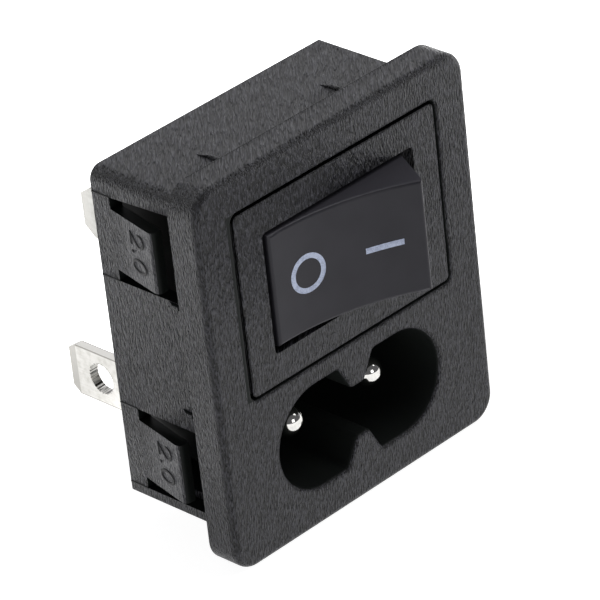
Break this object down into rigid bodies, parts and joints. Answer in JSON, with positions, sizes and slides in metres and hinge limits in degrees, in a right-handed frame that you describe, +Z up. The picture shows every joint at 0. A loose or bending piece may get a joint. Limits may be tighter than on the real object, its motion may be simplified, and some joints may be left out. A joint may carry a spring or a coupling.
{
  "type": "power socket with switch",
  "caption": "Snap-in panel power inlet with a figure-of-eight pin well below a rocker switch; flat terminal tabs stand out of its back.",
  "frame": {"origin": "middle of the flange's rear face, which rests on the front of the panel", "axes": "+X across the panel to the right seen from the front, +Y into the panel, +Z up"},
  "size_m": [0.0282, 0.0266, 0.0316],
  "materials": {
    "housing": "moulded, finely grained",
    "switch_case": "moulded, finely grained",
    "rocker": "smooth satin with pale printed marks",
    "plunger": "smooth white",
    "pin": "bright nickel plate",
    "terminal": "tinned",
    "bridge": "stamped strip",
    "contact": "silver contact",
    "spring": "drawn wire"
  },
  "bodies": {
    "housing": {"inlet_housing": "housing", "contact_pin_left": "pin", "contact_pin_right": "pin", "inlet_terminal_left": "terminal", "inlet_terminal_right": "terminal", "switch_case": "switch_case", "fixed_contact": "contact", "common_terminal": "terminal", "switched_terminal": "terminal"},
    "rocker": {"rocker": "rocker", "plunger_spring": "spring"},
    "plunger": {"plunger": "plunger"},
    "bridge": {"contact_bridge": "bridge", "moving_contact": "contact"}
  },
  "joints": [
    {"name": "rocker_pivot", "type": "hinge", "parent": "housing", "child": "rocker", "pos_m": [0, -0.00053, 0.00519], "axis": [0, 0, 1], "range_deg": [0, 32.8]},
    {"name": "plunger_slide", "type": "slide", "parent": "rocker", "child": "plunger", "axis": [0.2823, 0.9593, 0], "range_m": [-0.0004, 0], "stiffness_N_per_m": 500, "deforming": ["plunger_spring"]},
    {"name": "bridge_tilt", "type": "hinge", "parent": "housing", "child": "bridge", "pos_m": [0, 0.00718, 0.00519], "axis": [0, 0, 1], "range_deg": [-14, 0]}
  ],
  "couplings": [
    {"joint": "bridge_tilt", "follows": "rocker_pivot", "ratio": -0.42683}
  ]
}
